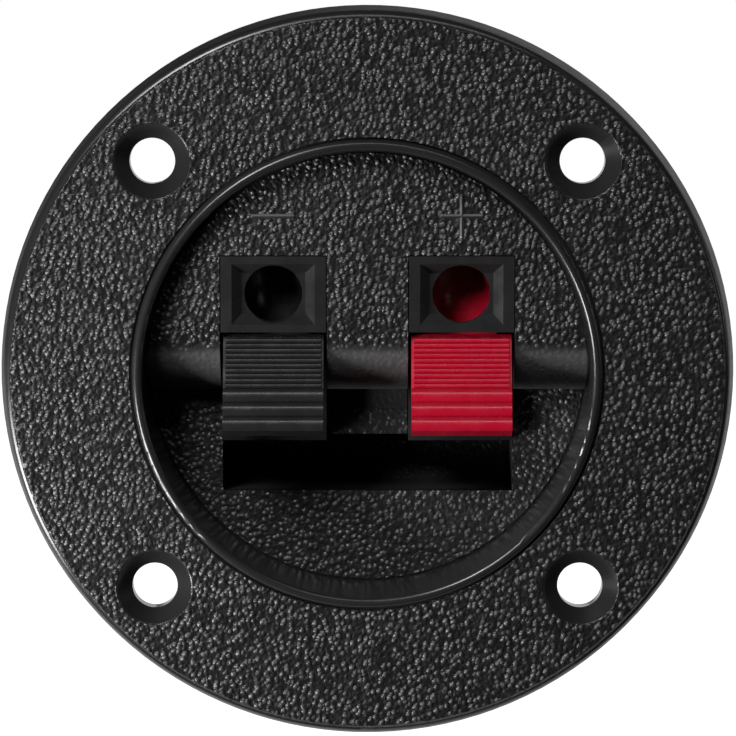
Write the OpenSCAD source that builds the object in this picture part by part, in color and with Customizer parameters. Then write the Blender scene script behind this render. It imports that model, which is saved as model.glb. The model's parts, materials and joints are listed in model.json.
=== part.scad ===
// Round recessed loudspeaker terminal cup with two sprung push levers for bare wire.
// The dish is let into a panel: the flange's rear face is y = 0, the front looks along -Y and +Z is up.

/* [Flange] */
// Outside diameter of the flange
flange_d = 76; // [72:0.5:90]
// Thickness of the flange
flange_t = 3.2; // [2.8:0.1:4.5]
// Loss of radius from the flange's rear face to its front face
flange_draft = 0.4; // [0:0.1:0.8]
// Radius of the flange's front edge
edge_r = 1; // [0.4:0.1:1.4]
// Diameter of the circle that the screw holes lie on
hole_circle_d = 62.5; // [60:0.5:66]
// Diameter of each screw hole
screw_hole_d = 4.7; // [3:0.1:5.2]
// Diameter of each countersink at the flange's face
countersink_d = 7.65; // [6:0.05:9]
// Number of screw holes
screw_count = 4; // [4, 6, 8]

/* [Dish] */
// Outside diameter of the body behind the flange
spigot_d = 50.8; // [50:0.1:53]
// Inside diameter of the dish at the flange's face
dish_d = 46.5; // [45:0.1:47]
// Loss of radius from the face to the dish's floor
dish_draft = 0.25; // [0:0.05:0.6]
// Depth of the lower floor below the flange's face
dish_depth = 9.6; // [8:0.1:11]
// Depth of the upper platform below the flange's face
platform_depth = 2.3; // [1.5:0.1:3]
// Height at which the platform starts to roll over to the floor
platform_z = 4.8; // [4.4:0.1:5.4]
// Wall of the dish, its platform and its floor
wall = 2; // [1.6:0.1:2.2]
// Section radius of the bead round the dish's mouth
bead_r = 0.55; // [0.4:0.05:0.8]
// How far the bead stands out of the flange's face
bead_rise = 0.35; // [0.2:0.05:0.5]
// Width of the groove outside the bead
groove_w = 0.3; // [0.2:0.05:0.5]
// Depth of the groove outside the bead
groove_t = 0.25; // [0.15:0.05:0.5]

/* [Pocket and rear box] */
// Height of the pocket's bottom wall
pocket_z = -13.4; // [-14.5:0.1:-12.6]
// Radius that blends the pocket's bottom wall into its back wall
pocket_r = 4; // [2:0.1:4]
// Depth of the rear box's inside behind the flange's rear face
box_depth = 16.4; // [16.2:0.1:20]
// Wall of the rear box and thickness of its cover
box_wall = 1.6; // [1.2:0.1:2]
// Wall of the partition between the two terminals
partition_wall = 1.2; // [0.8:0.1:1.4]
// Height of the partition's lower edge
partition_z = -7.6; // [-8.5:0.1:-6.5]
// Diameter of the screw boss inside the partition
boss_d = 5; // [4:0.1:5.6]
// Height of the screw boss
boss_z = 8; // [5:0.1:10]
// Diameter of the boss's pilot hole
pilot_d = 2.1; // [1.6:0.1:2.6]
// Depth of the boss's pilot hole
pilot_depth = 10; // [6:0.5:13]
// Width of each hook that holds the cover's lower edge
hook_w = 4; // [3:0.1:6]
// How far each hook reaches over the cover
hook_reach = 1.3; // [0.8:0.1:2]

/* [Wire guides] */
// Distance between the two terminals
pitch = 19.5; // [19:0.1:20.5]
// Height of the wire entries
entry_z = 8.2; // [8:0.05:8.4]
// Diameter of the wire entries
entry_d = 6; // [4:0.1:6.2]
// Height of the guide's front frame
frame_h = 7.9; // [7.6:0.05:8.2]
// Width of the funnel at its mouth
funnel_w = 8.6; // [7.6:0.1:9.2]
// Height of the funnel at its mouth
funnel_h = 6.3; // [5.6:0.1:6.6]
// Depth of the funnel, whose four faces slope at 45 degrees
funnel_depth = 1; // [0.6:0.1:1.4]
// Thickness of the guide's roof
roof_t = 1.4; // [1:0.1:1.8]
// Thickness of the ledge that the spring stands on
ledge_t = 1.4; // [1:0.1:2]
// Height of the ledge that the spring stands on
ledge_z = -6.4; // [-7:0.1:-5.5]
// Thickness of the guide's back wall
back_t = 0.7; // [0.5:0.1:1]
// How far the guide's cheeks stand back from the arm's front face, clear of the thumb pad
cheek_setback = 1.2; // [0.8:0.1:1.8]

/* [Levers] */
// Width of the thumb pad
lever_w = 10.4; // [10:0.1:11]
// Height of the thumb pad's top edge
pad_top_z = 3.95; // [3.6:0.05:4]
// Height of the thumb pad's nose
nose_z = -5.65; // [-6.5:0.05:-5]
// Depth of the thumb pad's top edge behind the flange's rear face
pad_top_y = 0; // [-0.4:0.1:0.4]
// How far the nose stands out of the flange's face
nose_proud = 0.4; // [0:0.1:1]
// Thickness of the thumb pad
pad_t = 2.4; // [1.8:0.1:2.8]
// Pitch of the fine ribs on the thumb pad
fine_pitch = 0.535; // [0.5:0.005:0.8]
// Pitch of the coarse ribs at the thumb pad's nose
coarse_pitch = 1.5; // [1.2:0.05:1.8]
// Number of coarse ribs
coarse_count = 3; // [2, 3]
// How far the fine ribs stand out
fine_rise = 0.22; // [0.1:0.01:0.26]
// How far the coarse ribs stand out
coarse_rise = 0.42; // [0.3:0.01:0.55]
// Width of the web and arm behind the thumb pad
web_w = 7.6; // [7:0.1:8]
// Wall of the web round its cored middle
web_wall = 1.2; // [0.9:0.1:1.6]
// Depth of the arm's front face behind the flange's rear face
arm_y = 3.6; // [3.4:0.1:4]
// Thickness of the arm
arm_t = 2.6; // [2.4:0.1:3]
// Radius of the upright groove in the arm's front face
scoop_r = 3.6; // [3.2:0.1:4]
// Depth of the upright groove in the arm's front face
scoop_t = 1.4; // [0.8:0.1:1.6]
// Height of the web's underside
web_z = 0.4; // [0:0.1:0.8]
// Distance of the pivot in front of the rear box's inside end
pivot_y = 3.4; // [3.2:0.1:3.8]
// Height of the pivot
pivot_z = 4; // [3.6:0.1:4.4]
// Diameter of the trunnions that the lever turns on
trunnion_d = 2.4; // [2:0.1:3]
// Radius of the barrel that carries the trunnions
barrel_r = 2.3; // [2:0.1:2.4]

/* [Springs] */
// Distance of each spring behind the flange's rear face
spring_y = 7.6; // [7.4:0.1:8]
// Outside diameter of the spring
spring_d = 4.4; // [4:0.1:4.8]
// Diameter of the spring's wire
wire_d = 0.5; // [0.4:0.05:0.6]
// Number of turns of the spring
turns = 6; // [4:1:8]
// Height of the bosses that locate the spring's ends
seat_boss_h = 1; // [0.6:0.1:1.4]

/* [Contacts] */
// Thickness of the contact strip
strip_t = 0.5; // [0.4:0.05:0.8]
// Width of the contact strip inside the guide
strip_w = 6.4; // [5.8:0.1:7]
// Width of the solder lug
lug_w = 3.2; // [2.6:0.1:4]
// How far the solder lug stands out of the cover
lug_len = 6; // [4:0.5:9]
// Diameter of the hole in the solder lug
lug_hole_d = 1.5; // [1:0.1:1.8]

/* [Fits] */
// Gap round the guide in its window, and round the cover in the rear box
seat_gap = 0.1; // [0.05:0.05:0.2]
// Gap on each side of the thumb pad in its slot
side_gap = 0.35; // [0.2:0.05:0.5]
// Gap between moving faces, and between the arm and the contact
free_gap = 0.3; // [0.2:0.05:0.4]
// Radial clearance of the trunnions in their bores
running_gap = 0.05; // [0.02:0.01:0.1]
// Gap round the lug in its slot
slot_gap = 0.2; // [0.1:0.05:0.4]

/* [Hidden] */
$fn = 72;

// Cutting tools run past the faces that they open by this much
over = 0.5;

// Depths from the front, as positions along Y
face_y = -flange_t;
platform_y = face_y + platform_depth;
floor_y = face_y + dish_depth;
platform_back_y = platform_y + wall;
floor_back_y = floor_y + wall;
box_back_y = box_depth + box_wall;

// The lever turns in front of the rear box's inside end
axle_y = box_depth - pivot_y;

// The platform rolls over to the floor in a quarter round
roll_r = floor_y - platform_y;

// The bead's inner side is trimmed by the dish's wall
dish_r = dish_d / 2;
bead_trim = 0.05;
bead_circle_r = dish_r - bead_trim + bead_r;
groove_r = bead_circle_r + bead_r;
spigot_r = spigot_d / 2;

// Terminals: each guide fills its slot, and the two slots make the pocket's width
side_x = pitch / 2;
slot_w = lever_w + 2 * side_gap;
guide_w = slot_w - 2 * seat_gap;
pocket_w = pitch + slot_w;
frame_bottom_z = pad_top_z + free_gap;
frame_top_z = frame_bottom_z + frame_h;
cheek_x = web_w / 2 + side_gap / 2;
cheek_front_y = arm_y + cheek_setback;
strip_top_z = frame_top_z - free_gap;
strip_z = strip_top_z - strip_t;
guide_top_z = strip_top_z + roof_t;
box_top_z = guide_top_z + 2 * seat_gap;
box_w = pocket_w + 2 * box_wall;
partition_w = pitch - slot_w;
pocket_back_top_z = pocket_z + pocket_r;
cover_bottom_z = pocket_back_top_z + 2 * seat_gap;

// Lever: its face runs from the top edge down and out to the nose
nose_y = face_y - nose_proud;
face_drop = pad_top_z - nose_z;
face_len = norm([pad_top_y - nose_y, face_drop]);
face_lean = atan2(pad_top_y - nose_y, face_drop);
coarse_zone = coarse_count * coarse_pitch;
fine_count = floor((face_len - coarse_zone) / fine_pitch);
rib_end_gap = 0.25;
arm_top_z = strip_z - free_gap;
spring_r = (spring_d - wire_d) / 2;
seat_boss_r = spring_r - wire_d / 2 - side_gap;
spring_free = web_z - ledge_z;

// Extrudes a profile drawn in the (Y, Z) plane along X, centred on x_mid
module along_x(width, x_mid = 0) {
    translate([x_mid - width / 2, 0, 0])
        rotate([90, 0, 90])
            linear_extrude(width) children();
}

// Revolves a profile drawn as (radius, Y) about the Y axis
module around_y() {
    rotate([-90, 0, 0]) rotate_extrude($fn = 180) children();
}

// A bar from one corner to the opposite one
module block(from, to) {
    translate(from) cube(to - from);
}

// A cylinder along +Y that starts at the given point
module rod_y(start, length, r1, r2) {
    translate(start) rotate([-90, 0, 0]) cylinder(h = length, r1 = r1, r2 = r2);
}

// A cylinder along X, centred on the given point
module rod_x(middle, length, r) {
    translate(middle) rotate([0, 90, 0]) cylinder(h = length, r = r, center = true);
}

// Everything behind the platform's skin, in (Y, Z), once the skin is set back by inset
module behind_platform(inset) {
    reach = spigot_d;
    translate([platform_y + inset, platform_z]) square([reach, reach]);
    translate([floor_y, platform_z]) circle(r = roll_r - inset);
    translate([floor_y, platform_z - roll_r + inset]) square([reach, reach]);
}

// Terminal cup: flange, dish and rear box in one moulding

module flange_profile() {
    front_r = flange_d / 2 - flange_draft;
    polygon([
        [0, 0], [flange_d / 2, 0], [front_r, face_y + edge_r],
        [front_r - edge_r, face_y], [0, face_y]
    ]);
    translate([front_r - edge_r, face_y + edge_r]) circle(r = edge_r);
}

module dish_air() {
    slope = dish_draft / dish_depth;
    difference() {
        rod_y([0, face_y - over, 0], dish_depth + over, dish_r + over * slope, dish_r - dish_draft);
        along_x(spigot_d) behind_platform(0);
    }
}

module box_inside_profile() {
    intersection() {
        behind_platform(wall);
        translate([0, pocket_z]) square([box_depth, box_top_z - pocket_z]);
    }
    translate([floor_y, pocket_z]) square([box_depth - pocket_r - floor_y, box_top_z - pocket_z]);
    translate([floor_y - over, pocket_z]) square([2 * over, platform_z - roll_r - pocket_z]);
    translate([box_depth - pocket_r, pocket_back_top_z]) {
        circle(r = pocket_r);
        square([pocket_r, box_top_z - pocket_back_top_z]);
        square([pocket_r + box_wall + over, box_top_z - pocket_back_top_z]);
    }
}

module rear_hollow() {
    intersection() {
        rod_y([0, platform_back_y, 0], floor_back_y - platform_back_y + over, spigot_r - wall, spigot_r - wall);
        along_x(spigot_d) behind_platform(wall);
    }
}

module box_outside() {
    block([-box_w / 2, platform_back_y - over, pocket_z - box_wall],
          [box_w / 2, box_back_y, box_top_z + box_wall]);
}

module stiffening_ribs() {
    for (side = [-1, 1])
        translate([side * (box_w / 2 + spigot_r - wall) / 2, 0, boss_z])
            cube([spigot_r - wall - box_w / 2 + over, 2 * floor_back_y, box_wall], center = true);
}

module screw_holes() {
    sink = (countersink_d - screw_hole_d) / 2;
    for (i = [0:screw_count - 1])
        rotate([0, (i + 0.5) * 360 / screw_count, 0])
            translate([hole_circle_d / 2, 0, 0]) {
                rod_y([0, face_y - over, 0], flange_t + 2 * over, screw_hole_d / 2, screw_hole_d / 2);
                rod_y([0, face_y - over, 0], sink + over, countersink_d / 2 + over, screw_hole_d / 2);
            }
}

// The partition's outline in (Y, Z), or its cored inside once it is set back by inset
module partition_profile(inset) {
    floor_edge_z = platform_z - roll_r;
    front_y = floor_back_y + inset;
    bottom_z = partition_z + inset;
    intersection() {
        behind_platform(wall - partition_wall + inset);
        translate([0, floor_edge_z]) square([box_depth + inset, box_top_z - floor_edge_z]);
    }
    translate([front_y, bottom_z]) square([box_depth + inset - front_y, box_top_z - bottom_z]);
}

module partition() {
    difference() {
        along_x(partition_w) partition_profile(0);
        along_x(partition_w - 2 * partition_wall) partition_profile(partition_wall);
    }
    rod_y([0, platform_back_y - over, boss_z], box_depth - platform_back_y + over, boss_d / 2, boss_d / 2);
}

module cover_hooks() {
    for (side = [-1, 1])
        translate([side * side_x - hook_w / 2, 0, 0]) difference() {
            block([0, box_depth, pocket_z], [hook_w, box_back_y + box_wall, pocket_back_top_z + hook_reach]);
            block([-over, box_depth - over, pocket_back_top_z],
                  [hook_w + over, box_back_y + seat_gap, pocket_back_top_z + hook_reach + over]);
        }
}

module terminal_cup() {
    color("#2b2b2d") difference() {
        union() {
            difference() {
                union() {
                    around_y() flange_profile();
                    rod_y([0, -over, 0], floor_back_y + over, spigot_r, spigot_r);
                    around_y() translate([bead_circle_r, face_y + bead_r - bead_rise]) circle(r = bead_r);
                }
                dish_air();
                difference() {
                    rear_hollow();
                    stiffening_ribs();
                }
            }
            difference() {
                box_outside();
                dish_air();
            }
            cover_hooks();
        }
        difference() {
            along_x(pocket_w) box_inside_profile();
            partition();
        }
        rod_y([0, box_depth - pilot_depth, boss_z], pilot_depth + over, pilot_d / 2, pilot_d / 2);
        for (side = [-1, 1])
            block([side * side_x - slot_w / 2, face_y - over, pocket_z / 2],
                  [side * side_x + slot_w / 2, floor_back_y, frame_top_z + seat_gap]);
        around_y() translate([groove_r, face_y - over]) square([groove_w, over + groove_t]);
        screw_holes();
    }
}

// Rear cover: closes the box and keeps the guides and contacts in place

module rear_cover() {
    color("#242426") difference() {
        block([seat_gap - pocket_w / 2, box_depth, cover_bottom_z],
              [pocket_w / 2 - seat_gap, box_back_y, box_top_z - seat_gap]);
        for (side = [-1, 1])
            block([side * side_x - lug_w / 2 - slot_gap, box_depth - over, strip_z - slot_gap],
                  [side * side_x + lug_w / 2 + slot_gap, box_back_y + over, strip_top_z + slot_gap]);
        rod_y([0, box_depth - over, boss_z], box_wall + 2 * over, pilot_d / 2 + slot_gap, pilot_d / 2 + slot_gap);
    }
}

// Wire guides: front frame with a funnel, cheeks that hold the lever, and the spring's ledge

module funnel(x_mid) {
    mouth = funnel_depth + over;
    intersection() {
        along_x(funnel_w + 2 * over, x_mid)
            polygon([
                [platform_y - over, entry_z - funnel_h / 2 - over], [platform_y - over, entry_z + funnel_h / 2 + over],
                [platform_y + funnel_depth, entry_z + funnel_h / 2 - funnel_depth],
                [platform_y + funnel_depth, entry_z - funnel_h / 2 + funnel_depth]
            ]);
        translate([x_mid, platform_y - over, entry_z - funnel_h])
            linear_extrude(2 * funnel_h)
                polygon([
                    [-funnel_w / 2 - over, 0], [funnel_w / 2 + over, 0],
                    [funnel_w / 2 - funnel_depth, mouth], [funnel_depth - funnel_w / 2, mouth]
                ]);
    }
}

module cheek_profile() {
    ledge_bottom_z = ledge_z - ledge_t;
    polygon([
        [platform_back_y, frame_bottom_z], [platform_back_y, guide_top_z],
        [box_depth, guide_top_z], [box_depth, ledge_bottom_z],
        [cheek_front_y, ledge_bottom_z], [cheek_front_y, frame_bottom_z]
    ]);
}

module guide_inside() {
    difference() {
        block([-cheek_x, platform_back_y, ledge_z], [cheek_x, box_depth - back_t, strip_top_z]);
        for (side = [-1, 1])
            translate([side * (cheek_x + strip_w / 2 - free_gap) / 2, 0, 0])
                block([-(cheek_x - strip_w / 2 + free_gap) / 2, axle_y - barrel_r, strip_z - free_gap - strip_t],
                      [(cheek_x - strip_w / 2 + free_gap) / 2, box_depth, strip_z - seat_gap / 2]);
    }
    block([-cheek_x, box_depth - back_t - over, pivot_z + barrel_r], [cheek_x, box_depth + over, strip_top_z]);
    block([-cheek_x, platform_back_y - over, ledge_z - ledge_t - over], [cheek_x, cheek_front_y, frame_bottom_z]);
}

module wire_guide(side, tint) {
    x_mid = side * side_x;
    color(tint) difference() {
        union() {
            block([x_mid - guide_w / 2, platform_y, frame_bottom_z], [x_mid + guide_w / 2, platform_back_y, frame_top_z]);
            difference() {
                along_x(guide_w, x_mid) cheek_profile();
                translate([x_mid, 0, 0]) guide_inside();
            }
            rod_z([x_mid, spring_y, ledge_z], seat_boss_h, seat_boss_r);
        }
        funnel(x_mid);
        rod_y([x_mid, platform_y - over, entry_z], wall + 2 * over, entry_d / 2, entry_d / 2);
        rod_x([x_mid, axle_y, pivot_z], guide_w + 2 * over, trunnion_d / 2 + running_gap);
    }
}

// A cylinder along +Z that starts at the given point
module rod_z(start, length, r) {
    translate(start) cylinder(h = length, r = r);
}

// Levers: ribbed thumb pad, web to the pivot barrel, and the arm that lifts the wire to the contact

// Draws in a frame whose X runs down the thumb pad's face and whose Y runs into the pad
module on_pad() {
    translate([pad_top_y, pad_top_z]) rotate(-90 - face_lean) children();
}

// A row of round ridges that end end_gap short of the pad's sides
module ridges(x_mid, count, first, step, rise, end_gap) {
    sink = (pow(step / 2, 2) - pow(rise, 2)) / (2 * rise);
    along_x(lever_w - 2 * end_gap, x_mid) on_pad() intersection() {
        for (i = [0:count - 1])
            translate([first - i * step, sink]) circle(r = rise + sink);
        translate([0, -pad_t]) square([face_len, 1.5 * pad_t]);
    }
}

module thumb_pad(x_mid) {
    difference() {
        along_x(lever_w, x_mid) on_pad() square([face_len, pad_t]);
        along_x(web_w, x_mid) on_pad() translate([web_wall, pad_t / 2]) square([face_len - 2 * web_wall, pad_t]);
    }
    ridges(x_mid, coarse_count, face_len - coarse_pitch / 2, coarse_pitch, coarse_rise, 0);
    ridges(x_mid, fine_count, face_len - coarse_zone - fine_pitch / 2, fine_pitch, fine_rise, rib_end_gap);
}

// Position along Y of a point inside the thumb pad's skin at height z
function in_pad_y(z) = pad_top_y - (pad_top_z - z) * tan(face_lean) + pad_t / 4;

module web_profile() {
    web_top_z = pad_top_z - pad_t / 2;
    barrel_top_z = pivot_z + barrel_r;
    polygon([
        [in_pad_y(web_top_z), web_top_z], [arm_y, web_top_z], [arm_y, arm_top_z],
        [arm_y + arm_t, arm_top_z], [arm_y + arm_t, barrel_top_z], [axle_y, barrel_top_z],
        [axle_y, pivot_z - barrel_r], [axle_y - barrel_r, web_z], [in_pad_y(web_z), web_z]
    ]);
}

module lever(side, tint) {
    x_mid = side * side_x;
    core_y = arm_y + arm_t;
    color(tint) {
        difference() {
            union() {
                along_x(web_w, x_mid) web_profile();
                rod_x([x_mid, axle_y, pivot_z], web_w, barrel_r);
            }
            block([x_mid - web_w / 2 + web_wall, core_y, web_z + web_wall],
                  [x_mid + web_w / 2 - web_wall, axle_y - barrel_r, pivot_z + barrel_r + over]);
            translate([x_mid, arm_y - scoop_r + scoop_t, pad_top_z]) cylinder(h = arm_top_z, r = scoop_r);
        }
        thumb_pad(x_mid);
        rod_x([x_mid, axle_y, pivot_z], guide_w, trunnion_d / 2);
        rod_z([x_mid, spring_y, web_z - seat_boss_h], seat_boss_h + over, seat_boss_r);
    }
}

// Springs: plain coils between the guide's ledge and the lever's web

// Point on the coil's centre line, t running from 0 at the bottom to 1 at the top
function coil_point(t) = [
    spring_r * cos(360 * turns * t),
    spring_r * sin(360 * turns * t),
    wire_d / 2 + (spring_free - wire_d) * t
];

module spring(side, tint) {
    steps = 16 * turns;
    sides = 8;
    points = [
        for (i = [0:steps], k = [0:sides - 1])
            let (
                middle = coil_point(i / steps),
                outward = [middle[0], middle[1], 0] / spring_r,
                angle = 360 * k / sides
            )
            middle + wire_d / 2 * (outward * cos(angle) + [0, 0, sin(angle)])
    ];
    skin = [
        for (i = [0:steps - 1], k = [0:sides - 1])
            let (next = (k + 1) % sides)
            [i * sides + k, (i + 1) * sides + k, (i + 1) * sides + next, i * sides + next]
    ];
    first_end = [for (k = [0:sides - 1]) k];
    last_end = [for (k = [sides - 1:-1:0]) steps * sides + k];
    color(tint)
        translate([side * side_x, spring_y, ledge_z])
            polyhedron(points, concat(skin, [first_end, last_end]));
}

// Contacts: flat strips under the guides' roofs, drawn out behind the cover as solder lugs

module contact(side, tint) {
    front_y = arm_y - free_gap;
    lug_y = box_back_y + lug_len - lug_w / 2;
    translate([side * side_x, 0, strip_z]) color(tint) difference() {
        union() {
            block([-strip_w / 2, front_y, 0], [strip_w / 2, box_depth - seat_gap, strip_t]);
            block([-lug_w / 2, front_y, 0], [lug_w / 2, lug_y, strip_t]);
            rod_z([0, lug_y, 0], strip_t, lug_w / 2);
        }
        rod_z([0, lug_y, -over], strip_t + 2 * over, lug_hole_d / 2);
    }
}

terminal_cup();
rear_cover();
wire_guide(-1, "#1d1d1f");  // wire_guide_black
wire_guide(1, "#1d1d1f");  // wire_guide_red
lever(-1, "#29292b");  // lever_black
lever(1, "#b5102c");  // lever_red
spring(-1, "#a8acb0");  // spring_black
spring(1, "#a8acb0");  // spring_red
contact(-1, "#c9cccb");  // contact_black
contact(1, "#c9cccb");  // contact_red
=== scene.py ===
import json
import math

import bmesh
import bpy
from bpy.props import FloatProperty, FloatVectorProperty, IntProperty, PointerProperty
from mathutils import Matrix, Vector

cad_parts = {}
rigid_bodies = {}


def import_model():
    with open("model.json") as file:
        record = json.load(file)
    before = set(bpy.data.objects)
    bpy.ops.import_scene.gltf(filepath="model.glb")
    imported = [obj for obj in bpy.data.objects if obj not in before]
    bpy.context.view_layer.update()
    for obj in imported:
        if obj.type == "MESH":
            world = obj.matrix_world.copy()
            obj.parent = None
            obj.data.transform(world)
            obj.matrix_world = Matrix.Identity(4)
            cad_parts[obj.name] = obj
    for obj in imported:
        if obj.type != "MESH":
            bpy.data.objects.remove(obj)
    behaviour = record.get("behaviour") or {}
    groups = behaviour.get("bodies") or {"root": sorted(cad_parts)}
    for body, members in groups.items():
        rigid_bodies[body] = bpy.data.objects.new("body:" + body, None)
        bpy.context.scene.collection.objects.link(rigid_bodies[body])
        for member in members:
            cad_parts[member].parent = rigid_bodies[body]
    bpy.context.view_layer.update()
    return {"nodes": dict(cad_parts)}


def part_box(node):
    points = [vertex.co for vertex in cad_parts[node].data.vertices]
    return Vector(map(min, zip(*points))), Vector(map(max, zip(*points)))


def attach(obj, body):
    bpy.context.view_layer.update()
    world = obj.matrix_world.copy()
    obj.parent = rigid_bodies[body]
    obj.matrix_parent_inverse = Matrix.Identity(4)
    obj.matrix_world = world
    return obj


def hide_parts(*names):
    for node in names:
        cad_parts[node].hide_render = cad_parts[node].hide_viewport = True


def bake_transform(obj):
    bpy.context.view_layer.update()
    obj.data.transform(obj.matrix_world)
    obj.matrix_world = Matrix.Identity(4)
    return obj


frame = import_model()

bl_info = {
    "name": "Speaker terminal cup",
    "version": (1, 0, 0),
    "blender": (4, 5, 0),
    "location": "3D View > Sidebar > Terminal cup",
    "description": "Finishes, springs, polarity marks and cover screw for a flush speaker terminal cup",
    "category": "Object",
}

NODES = frame["nodes"]
MM = 0.001
SIDES = {"black": -1, "red": 1}


# ---------------------------------------------------------------- places taken from the solids

def middle(node):
    """The middle of a node's box, in metres."""
    low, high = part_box(node)
    return (Vector(low) + Vector(high)) / 2


SIDE_X = middle("spring_red").x
SPRING_Y = middle("spring_red").y
SPRING_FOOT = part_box("spring_red")[0].z
SPRING_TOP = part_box("spring_red")[1].z
COVER_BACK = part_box("rear_cover")[1].y

# The cup's faces, in metres: depths, then radii between which a zone of the finish begins or ends
FACE_Y = -0.0032
PLATFORM_Y = -0.0009
FLOOR_Y = 0.0064
FLANGE_R = (0.02450, 0.0368)
DISH_R = (0.0230, 0.0228)
SPIGOT_R = (0.0232, 0.0236)
BEAD_R = (0.0232, 0.0245)
RIM_R = (0.0374, 0.0376)
HOLE_CIRCLE_R = 0.03125
COUNTERSINK_R = (0.00383, 0.00400)
POCKET_X = (0.0154, 0.0150)
POCKET_Z = (-0.0130, -0.0050)
POCKET_BACK_Y = 0.0168
FLOOR_HALF = 0.0005
SOFT = 0.0003

# The grain: shares of its height, its strength off the flat faces, and what each zone adds to the roughness
DOME_SHARE, LUMP_SHARE, FINE_SHARE = 0.70, 0.80, 0.03
ROLLED_GRAIN, OUTSIDE_GRAIN = 0.26, 0.18
ROUGHER = {"grained": 0.165, "rim": 0.40, "bead": 0.02, "rolled": 0.22, "outside": 0.30}
# Painted light: the roll-off's lighter colour stands in for the sheen it catches
ROLLED_PAINTED_SHEEN = (0.080, 0.080, 0.082)
# Painted highlight: the bead's lighter colour stands in for the highlight along it
BEAD_PAINTED_HIGHLIGHT = (0.016, 0.016, 0.0165)

# The bead round the rear cover: how far it reaches over the gap and into both sides, and its depth
SEAM_GAP, SEAM_BITE = 0.2 * MM, 0.03 * MM
SEAM_FRONT, SEAM_BACK = 0.9 * MM, 0.35 * MM

# The cover screw: its shank, and the cross recess in its head
SHANK_R, SHANK_L = 0.00105, 0.0024
CROSS_TAPER, CROSS_BOTTOM, CROSS_TOP = 0.35, 0.28, 1.4

# Lamps: name, direction from the cup, distance, width, height, power, and the setting that scales it
LAMPS = (
    ("key_softbox", (-0.42, -0.683, 0.60), 0.6, 0.19, 0.19, 2.55, "key"),
    ("left_card", (-0.136, -0.075, -0.070), 0.17, 0.06, 0.07, 0.50, "left"),
    ("top_strip", (0, -0.62, 0.78), 0.45, 0.36, 0.045, 0.30, "top"),
    ("right_strip", (0.92, -0.35, 0.12), 0.5, 0.05, 0.14, 0.06, "right"),
)

# The floor's dimmer patch: its middle, the radii it fades between, and its glow
PATCH_X, PATCH_Y = 0.06, 0.10
PATCH_R = (0.05, 0.13)
PATCH_GLOW = 0.76
FLOOR_HALF_WIDTH = 1.6

# The black flags: half tent (angles in degrees) and floor cloth
TENT_STEPS, TENT_RINGS, TENT_REACH = 24, 8, 0.80
TENT_TURN, TENT_WRAP, TENT_WRAP_TOWARDS = 88, 84, 135
CLOTH_X, CLOTH_FRONT, CLOTH_BACK, CLOTH_RISE = 0.7, -0.75, -0.014, 0.004

# The camera, all in millimetres: its lens and sensor, and where it aims from the middle of the cup's face
CAMERA_LENS = 189.9
CAMERA_SENSOR = 36.0
AIM_OFFSET = (0.06, 0, 0.82)


# ---------------------------------------------------------------- sizes and colours

def length(name, description, default, low=0.0):
    return FloatProperty(name=name, description=description, default=default, min=low,
                         precision=5, unit="LENGTH", subtype="DISTANCE")


def colour(name, description, default):
    return FloatVectorProperty(name=name, description=description, default=default, size=3,
                               min=0.0, max=1.0, subtype="COLOR")


def share(name, description, default, high=1.0):
    return FloatProperty(name=name, description=description, default=default, min=0.0, max=high,
                         subtype="FACTOR")


def power(name, description, default=1.0):
    return FloatProperty(name=name, description=description, default=default, min=0.0)


class CupFinish(bpy.types.PropertyGroup):
    plastic: colour("Plastic", "Colour of the moulded cup", (0.0140, 0.0140, 0.0144))
    # Painted highlight: the lighter tops of the grain stand in for its glints
    lighter: colour("Grain tops", "Colour of the tops of the grain", (0.046, 0.046, 0.0475))
    grain: length("Grain", "Width of one grain of the spark-eroded surface", 0.00060)
    depth: length("Grain depth", "Height of the grain", 0.00021)
    roughness: share("Roughness", "Roughness of the smooth zones", 0.22)


class PlasticFinish(bpy.types.PropertyGroup):
    guide: colour("Guides", "Colour of the wire guides", (0.014, 0.014, 0.0147))
    cover: colour("Cover", "Colour of the rear cover", (0.014, 0.014, 0.0148))
    black: colour("Black lever", "Colour of the black lever", (0.014, 0.014, 0.0147))
    red: colour("Red lever", "Colour of the red lever", (0.40, 0.0045, 0.022))


class SpringSizes(bpy.types.PropertyGroup):
    coil_d: length("Coil diameter", "Outside diameter of the coil", 0.0044)
    wire_d: length("Wire", "Diameter of the spring wire", 0.0005)
    turns: FloatProperty(name="Turns", description="Number of turns, closed ends included",
                         default=6.0, min=3.0)
    steps: IntProperty(name="Steps per turn", description="Points along one turn", default=40, min=12)


class MarkSizes(bpy.types.PropertyGroup):
    span: length("Length", "Length of a stroke", 0.0047)
    width: length("Width", "Width of a stroke", 0.00050)
    rise: length("Rise", "Height of a stroke above the platform", 0.00015)
    height: length("Height", "Height of the marks above the middle of the cup", 0.0163)


class ScrewSizes(bpy.types.PropertyGroup):
    head_d: length("Head", "Diameter of the cover screw's head", 0.0044)
    head_h: length("Head height", "Height of the cover screw's head", 0.0014)
    cross_w: length("Cross width", "Width of an arm of the cross recess", 0.0006)
    cross_l: length("Cross length", "Length of the cross recess", 0.0026)
    height: length("Height", "Height of the screw above the middle of the cup", 0.008)


class StudioSettings(bpy.types.PropertyGroup):
    key: power("Key", "Strength of the main softbox")
    left: power("Left card", "Strength of the small card on the left")
    right: power("Right strip", "Strength of the strip light on the right")
    top: power("Top strip", "Strength of the strip light above")
    fill: power("Surroundings", "Light from all round", 0.03)
    distance: length("Camera distance", "Distance of the camera from the cup's face", 0.40)
    tilt: FloatProperty(name="Camera height", description="Angle that the camera looks down by",
                        default=math.radians(7), subtype="ANGLE", unit="ROTATION")
    floor: length("Floor", "Depth of the floor below the middle of the cup", 0.09)


# ---------------------------------------------------------------- finishes

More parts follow.
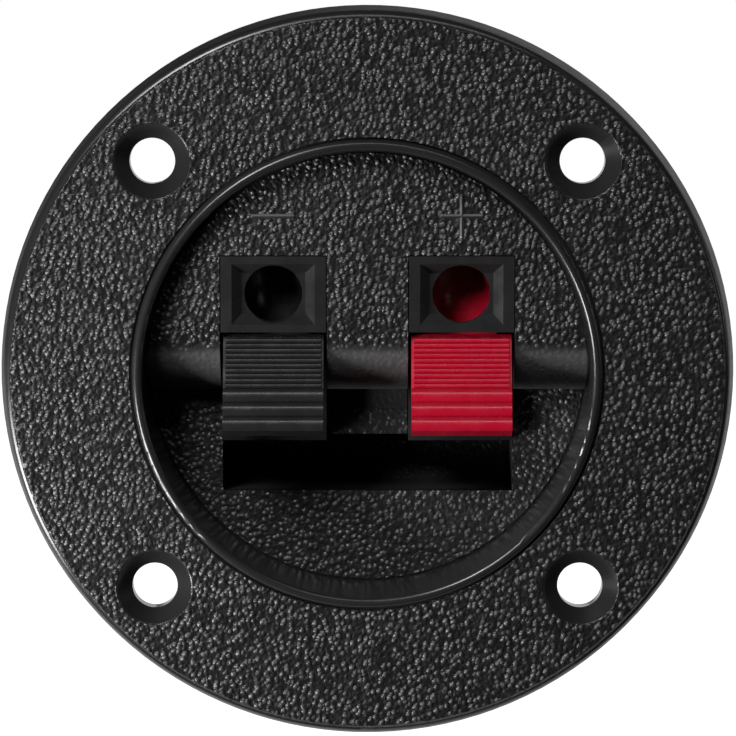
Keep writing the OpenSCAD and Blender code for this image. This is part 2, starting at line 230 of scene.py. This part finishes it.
class Nodes:
    """A node tree that is put together step by step."""

    tree = None

    def put(self, socket, value):
        if isinstance(value, bpy.types.NodeSocket):
            self.tree.links.new(value, socket)
        elif socket.type == "RGBA" and len(value) == 3:
            socket.default_value = (*value, 1.0)
        else:
            socket.default_value = value

    def node(self, kind, inputs=None, **settings):
        made = self.tree.nodes.new(kind)
        for name, value in settings.items():
            setattr(made, name, value)
        for socket, value in (inputs or {}).items():
            self.put(made.inputs[socket], value)
        return made

    def calc(self, operation, *values, clamp=False):
        made = self.node("ShaderNodeMath", dict(enumerate(values)), operation=operation)
        made.use_clamp = clamp
        return made.outputs[0]

    def plus(self, first, second, clamp=False):
        return self.calc("ADD", first, second, clamp=clamp)

    def less(self, first, second):
        return self.calc("SUBTRACT", first, second)

    def times(self, first, second):
        return self.calc("MULTIPLY", first, second)


class Finish(Nodes):
    """A material with a Principled shader, measured in its object's own coordinates."""

    def __init__(self, name):
        self.material = bpy.data.materials.new(name)
        self.material.use_nodes = True
        self.tree = self.material.node_tree
        self.tree.nodes.clear()
        self.shader = self.tree.nodes.new("ShaderNodeBsdfPrincipled")
        self.output = self.tree.nodes.new("ShaderNodeOutputMaterial")
        self.tree.links.new(self.shader.outputs["BSDF"], self.output.inputs["Surface"])
        self.place = self.node("ShaderNodeTexCoord").outputs["Object"]
        split = self.node("ShaderNodeSeparateXYZ", {"Vector": self.place})
        self.x, self.y, self.z = split.outputs

    def reach(self, first, second):
        """The length of a vector with these two parts."""
        return self.calc("SQRT", self.plus(self.times(first, first), self.times(second, second)))

    def fade(self, value, start, end, low=0.0, high=1.0):
        """low where value is at start, high where it is at end, and smooth between them."""
        return self.node("ShaderNodeMapRange", {"Value": value, "From Min": start, "From Max": end,
                                                "To Min": low, "To Max": high},
                         interpolation_type="SMOOTHSTEP").outputs["Result"]

    def band(self, value, low, high, edge):
        """1 where value lies between low and high, with soft edges."""
        return self.times(self.fade(value, low - edge, low + edge),
                          self.fade(value, high + edge, high - edge))

    def stretched(self, scale):
        return self.node("ShaderNodeMapping", {"Vector": self.place, "Scale": scale}).outputs["Vector"]

    def noise(self, size, detail=2.0, roughness=0.5, place=None, distortion=0.0):
        inputs = {"Vector": place or self.place, "Scale": 1 / size, "Detail": detail,
                  "Roughness": roughness, "Distortion": distortion}
        return self.node("ShaderNodeTexNoise", inputs).outputs["Fac"]

    def cells(self, size):
        """The distance to the middle of the nearest of many cells, in cells."""
        return self.node("ShaderNodeTexVoronoi", {"Vector": self.place, "Scale": 1 / size},
                         feature="F1").outputs["Distance"]

    def mix(self, factor, first, second):
        made = self.node("ShaderNodeMix", {"Factor": factor}, data_type="RGBA")
        self.put(made.inputs[6], first)
        self.put(made.inputs[7], second)
        return made.outputs[2]

    def relief(self, height, depth, strength=1.0, under=None):
        inputs = {"Height": height, "Distance": depth, "Strength": strength}
        if under is not None:
            inputs["Normal"] = under
        return self.node("ShaderNodeBump", inputs).outputs["Normal"]

    def shade(self, **sockets):
        for name, value in sockets.items():
            self.put(self.shader.inputs[name.replace("_", " ")], value)
        return self.material

    def specular(self, level):
        self.shader.inputs["Specular IOR Level"].default_value = level
        self.shader.inputs["IOR"].default_value = 1.5


def scaled(tint, share_of):
    """A colour times a number, no part above 1."""
    return tuple(min(1.0, part * share_of) for part in tint)


def cup_zones(f, radius):
    """Masks that are 1 on the grained faces, on the floor and pocket, on the roll-off, and on the outside."""
    flange = f.times(f.band(radius, *FLANGE_R, 0.00012), f.fade(f.y, FACE_Y + 0.0012, FACE_Y + 0.0003))
    inside = f.fade(radius, *DISH_R)
    platform = f.times(inside, f.fade(f.y, PLATFORM_Y + 0.0006, PLATFORM_Y + 0.0001))
    floor = f.times(inside, f.band(f.y, FLOOR_Y - FLOOR_HALF, FLOOR_Y + FLOOR_HALF, SOFT))
    in_pocket = f.times(f.fade(f.calc("ABSOLUTE", f.x), *POCKET_X), f.band(f.z, *POCKET_Z, 0.0002))
    deep = f.times(in_pocket, f.band(f.y, FLOOR_Y + FLOOR_HALF, POCKET_BACK_Y, SOFT))
    floor = f.plus(floor, deep, clamp=True)
    rolled = f.times(inside, f.band(f.y, PLATFORM_Y + 0.0004, FLOOR_Y - FLOOR_HALF, SOFT))
    shallower = f.fade(f.y, FLOOR_Y + 0.0003, FLOOR_Y + 0.0008, 1.0, 0.55)
    grained = f.plus(f.plus(flange, platform), f.times(floor, shallower), clamp=True)
    # Countersinks stay smooth
    hole = HOLE_CIRCLE_R * math.sqrt(0.5)
    from_hole = f.reach(f.less(f.calc("ABSOLUTE", f.x), hole), f.less(f.calc("ABSOLUTE", f.z), hole))
    grained = f.times(grained, f.fade(from_hole, *COUNTERSINK_R))
    around = f.times(f.fade(f.y, -0.0004, 0.0002), f.fade(radius, *SPIGOT_R))
    behind = f.times(f.fade(f.y, FLOOR_Y + 0.0008, FLOOR_Y + 0.0012), f.less(1.0, in_pocket))
    return grained, floor, rolled, f.calc("MAXIMUM", around, behind)


def grained_plastic(sizes):
    """Moulded black plastic, spark-eroded on the flat faces, faint on the roll-off, smooth on bead and rim."""
    f = Finish("cup_grained_plastic")
    radius = f.reach(f.x, f.z)
    grained, floor, rolled, outside = cup_zones(f, radius)
    strength = f.plus(grained, f.plus(f.times(rolled, ROLLED_GRAIN), f.times(outside, OUTSIDE_GRAIN)))

    size = sizes.grain
    domes = f.fade(f.cells(size), 0.66, 0.05)
    lumps = f.noise(size * 0.85, 1.0)
    fine = f.noise(size * 0.22, 1.0)
    height = f.plus(f.times(domes, DOME_SHARE), f.times(lumps, LUMP_SHARE))
    height = f.plus(height, f.times(fine, FINE_SHARE))
    normal = f.relief(f.times(height, strength), sizes.depth)
    normal = f.relief(f.noise(0.009), 0.00002, 0.3, normal)

    # Colour: cloudy plastic, then painted light on some zones (a painted sheen on the roll-off, a painted
    # highlight on the bead, painted light on the floor and pocket), then painted shade in the hollows and
    # painted highlights on the tops of the grain
    plastic = tuple(sizes.plastic)
    cloudy = f.fade(f.noise(0.011), 0.3, 0.7)
    base = f.mix(f.times(cloudy, 0.35), plastic, scaled(plastic, 1.5))
    # Painted sheen: the roll-off is given a lighter colour
    base = f.mix(f.times(rolled, f.fade(height, 0.2, 1.1, 0.75, 1.0)), base, ROLLED_PAINTED_SHEEN)
    # Painted highlight: the bead is given a lighter colour
    bead = f.band(radius, *BEAD_R, 0.0002)
    base = f.mix(bead, base, BEAD_PAINTED_HIGHLIGHT)
    # Painted light: the floor and the pocket are given a lighter colour
    base = f.mix(floor, base, scaled(plastic, 2.2))
    # Painted shade: the hollows of the grain are darker
    painted_hollow_shade = f.times(f.fade(height, 0.72, 0.36), grained)
    base = f.mix(f.times(painted_hollow_shade, 0.6), base, scaled(plastic, 0.12))
    # Painted highlight: the tops of the grain are lighter
    tops = f.times(f.fade(height, 0.66, 1.16), grained)
    base = f.mix(tops, base, tuple(sizes.lighter))

    sheen = f.fade(f.noise(0.004), 0.2, 0.8, sizes.roughness - 0.04, sizes.roughness + 0.05)
    rough = f.plus(f.times(grained, ROUGHER["grained"]), sheen)
    rim = f.times(f.fade(radius, *RIM_R), ROUGHER["rim"])
    softer = f.plus(f.times(bead, ROUGHER["bead"]), f.times(rolled, ROUGHER["rolled"]))
    softer = f.plus(softer, f.times(outside, ROUGHER["outside"]))
    rough = f.plus(rough, f.plus(rim, softer))
    f.specular(0.42)
    return f.shade(Base_Color=base, Roughness=rough, Normal=normal)


def moulded_plastic(name, tint, roughness=0.36, relief=0.00002, level=0.35, lighter=1.35):
    """Smooth moulded plastic with faint flow, handling marks and an uneven sheen."""
    f = Finish(name)
    flow = f.fade(f.noise(0.006, 3.0, 0.5, f.stretched((1.0, 1.0, 0.35)), 0.8), 0.3, 0.7)
    speck = f.fade(f.noise(0.0005), 0.62, 0.80)
    tint = tuple(tint)
    base = f.mix(f.times(flow, 0.4), tint, scaled(tint, lighter))
    base = f.mix(f.times(speck, 0.25), base, scaled(scaled(tint, lighter), 1.4))
    rough = f.fade(f.noise(0.0017, 3.0), 0.25, 0.75, roughness - 0.06, roughness + 0.07)
    skin = f.plus(f.noise(0.0009, 3.0), f.times(f.noise(0.00018, 1.0), 0.15))
    f.specular(level)
    return f.shade(Base_Color=base, Roughness=rough, Normal=f.relief(skin, relief, 0.5))


def metal(name, tint, size, roughness, stretch=(1.0, 1.0, 1.0)):
    """Bright metal with fine drawing lines and a light tarnish."""
    f = Finish(name)
    lines = f.noise(size, 3.0, 0.6, f.stretched(stretch))
    tarnish = f.fade(f.noise(0.0025, 3.0), 0.35, 0.75)
    base = f.mix(f.times(tarnish, 0.5), tint, scaled(tint, 0.72))
    rough = f.fade(lines, 0.3, 0.7, roughness - 0.07, roughness + 0.09)
    f.shader.inputs["Metallic"].default_value = 1.0
    return f.shade(Base_Color=base, Roughness=rough, Normal=f.relief(lines, 0.00001, 0.4))


def dress(node, material):
    """Gives every slot of a node of the solids this material."""
    for slot in NODES[node].material_slots:
        slot.material = material


# ---------------------------------------------------------------- Geometry Nodes

class Tree(Nodes):
    """A Geometry Nodes tree with named inputs."""

    def __init__(self, name, **inputs):
        self.tree = bpy.data.node_groups.new(name, "GeometryNodeTree")
        face = self.tree.interface
        face.new_socket("Geometry", in_out="INPUT", socket_type="NodeSocketGeometry")
        face.new_socket("Geometry", in_out="OUTPUT", socket_type="NodeSocketGeometry")
        self.ids = {}
        for label, (kind, default) in inputs.items():
            socket = face.new_socket(label, in_out="INPUT", socket_type=kind)
            if default is not None:
                socket.default_value = default
            self.ids[label] = socket.identifier
        self.start = self.tree.nodes.new("NodeGroupInput")
        self.end = self.tree.nodes.new("NodeGroupOutput")

    def given(self, label):
        return self.start.outputs[label]

    def finish(self, geometry):
        """Ends the tree in Realize Instances and Set Material."""
        real = self.node("GeometryNodeRealizeInstances", {"Geometry": geometry}).outputs["Geometry"]
        smooth = self.node("GeometryNodeSetShadeSmooth", {"Geometry": real}).outputs["Geometry"]
        last = self.node("GeometryNodeSetMaterial", {"Geometry": smooth, "Material": self.given("Material")})
        self.tree.links.new(last.outputs["Geometry"], self.end.inputs["Geometry"])
        return self


def add_object(name, mesh):
    obj = bpy.data.objects.new(name, mesh)
    bpy.context.scene.collection.objects.link(obj)
    return obj


def grown(name, mesh, tree, **values):
    """Runs a tree on a mesh and returns a plain mesh object of the result."""
    seed = add_object(name + "_seed", mesh)
    modifier = seed.modifiers.new("grow", "NODES")
    modifier.node_group = tree.tree
    for label, value in values.items():
        modifier[tree.ids[label]] = value
    bpy.context.view_layer.update()
    evaluated = seed.evaluated_get(bpy.context.evaluated_depsgraph_get())
    plain = bpy.data.meshes.new_from_object(evaluated)
    plain.name = name
    seed.modifiers.remove(modifier)
    bpy.data.objects.remove(seed)
    if not plain.vertices:
        raise RuntimeError(f"{name} came out empty")
    close_up(plain)
    return add_object(name, plain)


def close_up(mesh):
    """Merges doubles and turns the faces outwards."""
    shell = bmesh.new()
    shell.from_mesh(mesh)
    bmesh.ops.remove_doubles(shell, verts=shell.verts, dist=1e-7)
    bmesh.ops.recalc_face_normals(shell, faces=shell.faces)
    shell.to_mesh(mesh)
    shell.free()


def coil_tree():
    """A compression coil: closed end turns, open turns between them."""
    t = Tree("compression_coil",
             Turns=("NodeSocketFloat", 6.0), Steps=("NodeSocketInt", 240), Radius=("NodeSocketFloat", 0.002),
             Wire=("NodeSocketFloat", 0.0005), Foot=("NodeSocketVector", (0, 0, 0)),
             Length=("NodeSocketFloat", 0.007), Material=("NodeSocketMaterial", None))
    line = t.node("GeometryNodeMeshLine", {"Count": t.given("Steps")})
    path = t.node("GeometryNodeMeshToCurve", {"Mesh": line.outputs["Mesh"]}).outputs["Curve"]
    along = t.node("GeometryNodeSplineParameter").outputs["Factor"]
    turns, thick, radius = t.given("Turns"), t.given("Wire"), t.given("Radius")
    turn = t.times(along, turns)
    angle = t.times(turn, math.tau)
    # One closed turn at each end climbs by the wire's thickness, and the open turns share the rest
    foot_turn = t.calc("MINIMUM", turn, 1.0)
    head_turn = t.calc("MAXIMUM", t.less(turn, t.less(turns, 1.0)), 0.0)
    open_turns = t.less(t.less(turn, foot_turn), head_turn)
    closed = t.times(t.plus(foot_turn, head_turn), thick)
    rest = t.less(t.given("Length"), t.times(thick, 3.0))
    pitch = t.calc("DIVIDE", rest, t.less(turns, 2.0))
    climb = t.plus(closed, t.times(open_turns, pitch))
    climb = t.plus(climb, t.times(thick, 0.5))
    spot = t.node("ShaderNodeCombineXYZ", {
        "X": t.times(t.calc("COSINE", angle), radius),
        "Y": t.times(t.calc("SINE", angle), radius), "Z": climb}).outputs[0]
    moved = t.node("ShaderNodeVectorMath", {0: spot, 1: t.given("Foot")}, operation="ADD").outputs[0]
    path = t.node("GeometryNodeSetPosition", {"Geometry": path, "Position": moved}).outputs["Geometry"]
    section = t.node("GeometryNodeCurvePrimitiveCircle",
                     {"Resolution": 12, "Radius": t.times(thick, 0.5)}).outputs["Curve"]
    wire = t.node("GeometryNodeCurveToMesh", {"Curve": path, "Profile Curve": section, "Fill Caps": True})
    return t.finish(wire.outputs["Mesh"])


def revolve(name, profile, steps, centre):
    """Turns a profile of (radius, depth) about the Y axis."""
    shell = bmesh.new()
    verts = [shell.verts.new((r, y, 0.0)) for r, y in profile]
    for a, b in zip(verts, verts[1:]):
        shell.edges.new((a, b))
    bmesh.ops.spin(shell, geom=shell.verts[:] + shell.edges[:], cent=(0, 0, 0), axis=(0, 1, 0),
                   angle=math.tau, steps=steps, use_duplicate=False)
    bmesh.ops.remove_doubles(shell, verts=shell.verts, dist=1e-7)
    bmesh.ops.recalc_face_normals(shell, faces=shell.faces)
    for vert in shell.verts:
        vert.co += centre
    mesh = bpy.data.meshes.new(name)
    shell.to_mesh(mesh)
    shell.free()
    return mesh


# ---------------------------------------------------------------- operators

class Step(bpy.types.Operator):
    """A step that dresses the cup"""
    bl_options = {"REGISTER", "UNDO"}

    def settings(self, context, name):
        return getattr(context.scene, "terminal_" + name)


class TERMINAL_OT_cup(Step):
    """Gives the cup its grained black plastic"""
    bl_idname = "terminal.cup"
    bl_label = "Cup"

    def execute(self, context):
        dress("terminal_cup", grained_plastic(self.settings(context, "cup")))
        return {"FINISHED"}


class TERMINAL_OT_cover(Step):
    """Gives the rear cover its plain black plastic, and a bead round it"""
    bl_idname = "terminal.cover"
    bl_label = "Rear cover"

    def execute(self, context):
        tint = self.settings(context, "plastic").cover
        plastic = moulded_plastic("cover_plain_plastic", tint, 0.45, 0.00004)
        dress("rear_cover", plastic)
        self.seam(plastic)
        return {"FINISHED"}

    def seam(self, plastic):
        """A bead over the clearance that the solids leave round the cover, through which light would pass.

        It is in the scene only, and a rectangular ring that reaches a little into both sides.
        """
        low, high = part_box("rear_cover")
        front, back = COVER_BACK - SEAM_FRONT, COVER_BACK - SEAM_BACK
        points = []
        for out in (SEAM_GAP + SEAM_BITE, -SEAM_BITE):
            for y in (front, back):
                points += [(low.x - out, y, low.z - out), (high.x + out, y, low.z - out),
                           (high.x + out, y, high.z + out), (low.x - out, y, high.z + out)]
        faces = []
        for k in range(4):
            n = (k + 1) % 4
            for a, b in ((0, 4), (4, 12), (12, 8), (8, 0)):
                faces.append((a + k, a + n, b + n, b + k))
        mesh = bpy.data.meshes.new("cover_seam")
        mesh.from_pydata(points, [], faces)
        shell = bmesh.new()
        shell.from_mesh(mesh)
        bmesh.ops.recalc_face_normals(shell, faces=shell.faces)
        shell.to_mesh(mesh)
        shell.free()
        mesh.materials.append(plastic)
        seam = add_object("cover_seam", mesh)
        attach(seam, "housing")


class TERMINAL_OT_guides(Step):
    """Gives both wire guides their smooth black plastic"""
    bl_idname = "terminal.guides"
    bl_label = "Wire guides"

    def execute(self, context):
        tint = self.settings(context, "plastic").guide
        satin = moulded_plastic("guide_satin_plastic", tint, 0.30, level=0.45)
        for side in SIDES:
            dress(f"wire_guide_{side}", satin)
        return {"FINISHED"}


class TERMINAL_OT_levers(Step):
    """Gives the two push levers their colours"""
    bl_idname = "terminal.levers"
    bl_label = "Push levers"

    def execute(self, context):
        tints = self.settings(context, "plastic")
        dress("lever_black", moulded_plastic("lever_black_plastic", tints.black, 0.25, level=0.6))
        dress("lever_red", moulded_plastic("lever_red_plastic", tints.red, 0.26, level=0.6, lighter=1.12))
        return {"FINISHED"}


class TERMINAL_OT_contacts(Step):
    """Gives the contact strips their tin"""
    bl_idname = "terminal.contacts"
    bl_label = "Contact strips"

    def execute(self, context):
        tin = metal("contact_tin_plate", (0.70, 0.70, 0.68), 0.0004, 0.30, (1.0, 0.12, 1.0))
        for side in SIDES:
            dress(f"contact_{side}", tin)
        return {"FINISHED"}


class TERMINAL_OT_springs(Step):
    """Winds the two compression springs"""
    bl_idname = "terminal.springs"
    bl_label = "Springs"

    def execute(self, context):
        sizes = self.settings(context, "spring")
        steel = metal("spring_drawn_steel", (0.55, 0.56, 0.57), 0.0003, 0.26)
        tree = coil_tree()
        for side, sign in SIDES.items():
            foot = Vector((sign * SIDE_X, SPRING_Y, SPRING_FOOT))
            coil = grown(f"spring_coil_{side}", bpy.data.meshes.new("empty"), tree,
                         Turns=sizes.turns, Steps=int(sizes.turns * sizes.steps) + 1,
                         Radius=(sizes.coil_d - sizes.wire_d) / 2, Wire=sizes.wire_d, Foot=foot,
                         Length=SPRING_TOP - SPRING_FOOT, Material=steel)
            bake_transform(coil)
            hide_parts(f"spring_{side}")
        return {"FINISHED"}


class TERMINAL_OT_marks(Step):
    """Raises the plus and minus marks above the wire guides"""
    bl_idname = "terminal.marks"
    bl_label = "Polarity marks"

    def execute(self, context):
        sizes = self.settings(context, "mark")
        plastic = moulded_plastic("mark_smooth_plastic", (0.018, 0.018, 0.0186), 0.34, level=0.8)
        half = sizes.span / 2
        for side, sign in SIDES.items():
            centre = Vector((sign * SIDE_X, PLATFORM_Y, sizes.height))
            strokes = [Vector((half, 0, 0))] + ([Vector((0, 0, half))] if side == "red" else [])
            mesh = bpy.data.meshes.new(f"mark_{side}")
            shell = bmesh.new()
            for reach in strokes:
                raise_stroke(shell, centre, reach, sizes.width / 2, sizes.rise)
            bmesh.ops.recalc_face_normals(shell, faces=shell.faces)
            for face in shell.faces:
                face.smooth = True
            shell.to_mesh(mesh)
            shell.free()
            mesh.materials.append(plastic)
            mark = add_object(f"mark_{'plus' if side == 'red' else 'minus'}", mesh)
            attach(mark, "housing")
        return {"FINISHED"}


def squared(value):
    """The square of a value, with its sign, which makes straight flanks of a round section."""
    return math.copysign(value * value, value)


def raise_stroke(shell, centre, reach, half_width, rise, along=48, round=16):
    """One stroke with a roof-shaped section and rounded ends, its lower half sunk in the platform."""
    out = Vector((0, -1, 0))
    across = reach.cross(out).normalized()
    rings = []
    for i in range(along + 1):
        t = -1 + 2 * i / along
        tip = max(0.0, (abs(t) * reach.length - (reach.length - half_width)) / half_width)
        scale = math.sqrt(max(0.0, 1 - tip * tip))
        rings.append([shell.verts.new(centre + reach * t + across * half_width * scale * squared(math.cos(a))
                                      + out * rise * scale * squared(math.sin(a)))
                      for a in (math.tau * k / round for k in range(round))])
    for a, b in zip(rings, rings[1:]):
        for k in range(round):
            n = (k + 1) % round
            shell.faces.new((a[k], a[n], b[n], b[k]))
    bmesh.ops.remove_doubles(shell, verts=rings[0] + rings[-1], dist=1e-7)


class TERMINAL_OT_cover_screw(Step):
    """Sets the cross-recessed screw that holds the rear cover"""
    bl_idname = "terminal.cover_screw"
    bl_label = "Cover screw"

    def execute(self, context):
        sizes = self.settings(context, "screw")
        seat = Vector((0, COVER_BACK, sizes.height))
        radius, rise = sizes.head_d / 2, sizes.head_h
        profile = [(0.0, rise)]
        profile += [(radius * math.sin(a) * 0.98, rise * (0.45 + 0.55 * math.cos(a)))
                    for a in (math.radians(d) for d in range(8, 90, 8))]
        profile += [(radius, rise * 0.42), (radius, rise * 0.06), (radius - 0.00008, 0.0), (SHANK_R, 0.0),
                    (SHANK_R, -SHANK_L), (0.0, -SHANK_L)]
        head = add_object("cover_screw", revolve("cover_screw", profile, 48, seat))
        cutter = bpy.data.meshes.new("cross")
        shell = bmesh.new()
        for w, l in ((sizes.cross_w, sizes.cross_l), (sizes.cross_l, sizes.cross_w)):
            for vert in bmesh.ops.create_cube(shell, size=1.0)["verts"]:
                taper, level = (CROSS_TAPER, CROSS_BOTTOM) if vert.co.y < 0 else (1.0, CROSS_TOP)
                vert.co = seat + Vector((vert.co.x * w * (taper if w > l else 1), rise * level,
                                         vert.co.z * l * (taper if l > w else 1)))
        shell.to_mesh(cutter)
        shell.free()
        tool = add_object("cross_tool", cutter)
        cut = head.modifiers.new("recess", "BOOLEAN")
        cut.operation, cut.object, cut.solver, cut.use_self = "DIFFERENCE", tool, "EXACT", True
        bpy.context.view_layer.update()
        plain = bpy.data.meshes.new_from_object(head.evaluated_get(bpy.context.evaluated_depsgraph_get()))
        head.modifiers.clear()
        head.data = plain
        bpy.data.objects.remove(tool)
        plain.materials.clear()
        plain.materials.append(metal("screw_zinc_plate", (0.62, 0.62, 0.60), 0.0003, 0.30))
        plain.shade_smooth()
        plain.set_sharp_from_angle(angle=math.radians(38))
        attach(head, "housing")
        return {"FINISHED"}


# ---------------------------------------------------------------- studio

def softbox(name, towards, distance, width, height, strength):
    """An area light that looks at the cup from a direction."""
    lamp = bpy.data.lights.new(name, "AREA")
    lamp.shape, lamp.size, lamp.size_y, lamp.energy = "RECTANGLE", width, height, strength
    obj = bpy.data.objects.new(name, lamp)
    bpy.context.scene.collection.objects.link(obj)
    obj.location = Vector(towards).normalized() * distance
    obj.rotation_euler = (-obj.location).to_track_quat("-Z", "Y").to_euler()


def seen_by_eye(tree):
    """1 for camera, glossy and transmission rays, and 0 for the rest."""
    rays = tree.nodes.new("ShaderNodeLightPath")
    seen = rays.outputs["Is Camera Ray"]
    for other in ("Is Glossy Ray", "Is Transmission Ray"):
        either = tree.nodes.new("ShaderNodeMath")
        either.operation = "MAXIMUM"
        tree.links.new(seen, either.inputs[0])
        tree.links.new(rays.outputs[other], either.inputs[1])
        seen = either.outputs[0]
    return seen


class TERMINAL_OT_studio(Step):
    """Sets up the floor, the white surroundings, the lights and the camera"""
    bl_idname = "terminal.studio"
    bl_label = "Studio"

    def execute(self, context):
        studio = self.settings(context, "studio")
        scene = context.scene
        scene.view_settings.view_transform = "Standard"
        self.surroundings(scene, studio)
        self.floor(studio)
        for name, towards, distance, width, height, watts, setting in LAMPS:
            softbox(name, towards, distance, width, height, watts * getattr(studio, setting))
        self.flags(studio)
        self.camera(scene, studio)
        return {"FINISHED"}

    def surroundings(self, scene, studio):
        world = bpy.data.worlds.new("studio_surroundings")
        world.use_nodes = True
        tree = world.node_tree
        tree.nodes.clear()
        lit, white = (tree.nodes.new("ShaderNodeBackground") for _ in range(2))
        lit.inputs["Color"].default_value = white.inputs["Color"].default_value = (1, 1, 1, 1)
        lit.inputs["Strength"].default_value = studio.fill
        white.inputs["Strength"].default_value = 1.0
        mix = tree.nodes.new("ShaderNodeMixShader")
        out = tree.nodes.new("ShaderNodeOutputWorld")
        tree.links.new(seen_by_eye(tree), mix.inputs["Fac"])
        tree.links.new(lit.outputs[0], mix.inputs[1])
        tree.links.new(white.outputs[0], mix.inputs[2])
        tree.links.new(mix.outputs[0], out.inputs["Surface"])
        scene.world = world

    def floor(self, studio):
        half, z = FLOOR_HALF_WIDTH, -studio.floor
        corners = [(-half, -half, z), (half, -half, z), (half, half, z), (-half, half, z)]
        mesh = bpy.data.meshes.new("studio_floor")
        mesh.from_pydata(corners, [], [(0, 1, 2, 3)])
        floor = add_object("studio_floor", mesh)
        f = Finish("floor_pale_paper")
        paper = f.mix(f.fade(f.noise(0.02, 3.0), 0.3, 0.7), (0.80, 0.80, 0.80), (0.84, 0.84, 0.84))
        f.shader.inputs["Roughness"].default_value = 0.9
        f.shader.inputs["Specular IOR Level"].default_value = 0.1
        f.shade(Base_Color=paper)
        # The paper glows white, less in a patch where the object's own shadow has room to show
        away = f.reach(f.less(f.x, PATCH_X), f.less(f.y, PATCH_Y))
        strength = f.fade(away, *PATCH_R, PATCH_GLOW, 1.0)
        glow = f.node("ShaderNodeEmission", {"Color": (1, 1, 1), "Strength": strength})
        seen = seen_by_eye(f.tree)
        both = f.node("ShaderNodeAddShader", {0: f.shader.outputs[0], 1: glow.outputs[0]})
        pick = f.node("ShaderNodeMixShader", {0: seen, 1: f.shader.outputs[0], 2: both.outputs[0]})
        f.tree.links.new(pick.outputs[0], f.output.inputs["Surface"])
        mesh.materials.append(f.material)

    def flags(self, studio):
        """A black half tent and floor cloth round the camera, which only the camera looks through.

        Smooth black stays black, because they hide the white surroundings from reflections on the cup's
        front and upper left. The cloth also keeps the lamps off the floor in front.
        """
        steps, rings, reach = TENT_STEPS, TENT_RINGS, TENT_REACH
        points, faces = [(0, -reach, 0)], []
        for ring in range(1, rings + 1):
            for k in range(steps):
                angle = math.tau * k / steps
                wrap = TENT_WRAP * max(0.0, math.cos(angle - math.radians(TENT_WRAP_TOWARDS)))
                turn = math.radians(TENT_TURN + wrap) * ring / rings
                points.append((reach * math.sin(turn) * math.cos(angle), -reach * math.cos(turn),
                               reach * math.sin(turn) * math.sin(angle)))
        for k in range(steps):
            after = (k + 1) % steps
            faces.append((0, 1 + k, 1 + after))
            faces += [(1 + (ring - 1) * steps + k, 1 + ring * steps + k, 1 + ring * steps + after,
                       1 + (ring - 1) * steps + after) for ring in range(1, rings)]
        first, low = len(points), CLOTH_RISE - studio.floor
        points += [(-CLOTH_X, CLOTH_FRONT, low), (CLOTH_X, CLOTH_FRONT, low),
                   (CLOTH_X, CLOTH_BACK, low), (-CLOTH_X, CLOTH_BACK, low)]
        faces.append((first, first + 1, first + 2, first + 3))
        mesh = bpy.data.meshes.new("studio_flags")
        mesh.from_pydata(points, [], faces)
        tent = add_object("studio_flags", mesh)
        f = Finish("flag_black_cloth")
        f.shade(Base_Color=(0.01, 0.01, 0.01), Roughness=1.0)
        f.specular(0.0)
        clear = f.node("ShaderNodeBsdfTransparent", {"Color": (1, 1, 1, 1)})
        rays = f.node("ShaderNodeLightPath")
        pick = f.node("ShaderNodeMixShader", {0: rays.outputs["Is Camera Ray"], 1: f.shader.outputs[0],
                                              2: clear.outputs[0]})
        f.tree.links.new(pick.outputs[0], f.output.inputs["Surface"])
        mesh.materials.append(f.material)

    def camera(self, scene, studio):
        centre = Vector((0, FACE_Y, 0))
        data = bpy.data.cameras.new("studio_camera")
        data.sensor_width, data.lens = CAMERA_SENSOR, CAMERA_LENS
        data.clip_start, data.clip_end = 0.01, 10.0
        camera = bpy.data.objects.new("studio_camera", data)
        scene.collection.objects.link(camera)
        camera.location = centre + studio.distance * Vector((0, -math.cos(studio.tilt), math.sin(studio.tilt)))
        aim = centre + Vector(AIM_OFFSET) * MM
        camera.rotation_euler = (aim - camera.location).to_track_quat("-Z", "Y").to_euler()
        scene.camera = camera


class TERMINAL_PT_panel(bpy.types.Panel):
    """Sizes, colours and steps of the terminal cup"""
    bl_idname = "TERMINAL_PT_panel"
    bl_label = "Speaker terminal cup"
    bl_space_type = "VIEW_3D"
    bl_region_type = "UI"
    bl_category = "Terminal cup"

    def draw(self, context):
        for name, group in GROUPS.items():
            box = self.layout.box()
            box.label(text=name.capitalize())
            for prop in group.__annotations__:
                box.prop(getattr(context.scene, "terminal_" + name), prop)
        for step in STEPS:
            self.layout.operator(step.bl_idname)


GROUPS = {"cup": CupFinish, "plastic": PlasticFinish, "spring": SpringSizes, "mark": MarkSizes,
          "screw": ScrewSizes, "studio": StudioSettings}
STEPS = (TERMINAL_OT_cup, TERMINAL_OT_cover, TERMINAL_OT_guides, TERMINAL_OT_levers, TERMINAL_OT_contacts,
         TERMINAL_OT_springs, TERMINAL_OT_marks, TERMINAL_OT_cover_screw, TERMINAL_OT_studio)
CLASSES = (*GROUPS.values(), *STEPS, TERMINAL_PT_panel)


def register():
    for each in CLASSES:
        bpy.utils.register_class(each)
    for name, group in GROUPS.items():
        setattr(bpy.types.Scene, "terminal_" + name, PointerProperty(type=group))


def unregister():
    for name in GROUPS:
        delattr(bpy.types.Scene, "terminal_" + name)
    for each in reversed(CLASSES):
        bpy.utils.unregister_class(each)


def plain(box):
    return [[float(v) for v in corner] for corner in box]


def main():
    register()
    for step in STEPS:
        group, name = step.bl_idname.split(".")
        getattr(getattr(bpy.ops, group), name)()


if __name__ == "__main__":
    main()
